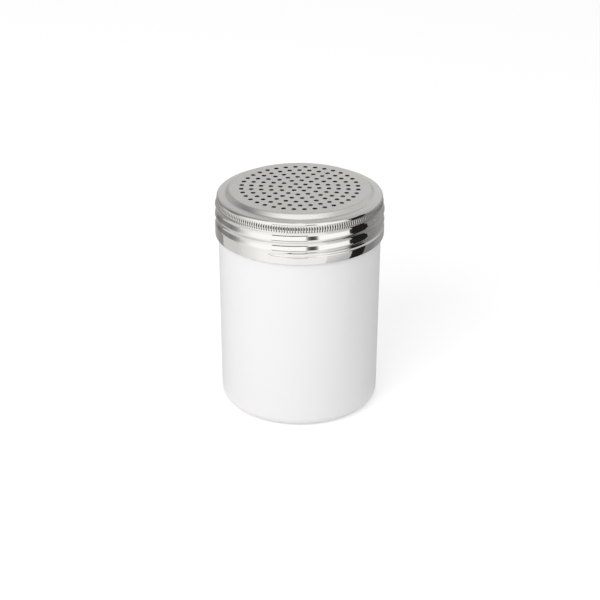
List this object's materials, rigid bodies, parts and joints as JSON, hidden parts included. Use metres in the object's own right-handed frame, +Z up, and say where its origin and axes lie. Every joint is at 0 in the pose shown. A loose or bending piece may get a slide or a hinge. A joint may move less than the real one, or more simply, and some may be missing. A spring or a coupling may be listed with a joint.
{
  "type": "screw-top dredger shaker",
  "caption": "White plastic dredger cup with a polished steel screw lid: a perforated raised top, a knurled grip band and a rolled thread.",
  "frame": {"origin": "middle of the foot, on the surface that the dredger stands on", "axes": "+Z up along the common axis of cup and lid, -Y towards the front shown in the picture, +X to its right"},
  "size_m": [0.07, 0.07, 0.0944],
  "materials": {
    "white_plastic": "moulded, satin",
    "steel": "polished stainless steel with a satin flat top"
  },
  "bodies": {
    "cup": {"cup": "white_plastic"},
    "lid_lift": {"lid_rim": "steel"},
    "lid": {"screw_lid": "steel"}
  },
  "joints": [
    {"name": "lid_rise", "type": "slide", "parent": "cup", "child": "lid_lift", "axis": [0, 0, 1], "range_m": [0, 0.00574]},
    {"name": "lid_turn", "type": "hinge", "parent": "lid_lift", "child": "lid", "pos_m": [0, 0, 0.0815], "axis": [0, 0, 1], "range_deg": [0, 480]}
  ],
  "couplings": [
    {"joint": "lid_rise", "follows": "lid_turn", "m_per_rad": 0.00068437}
  ]
}
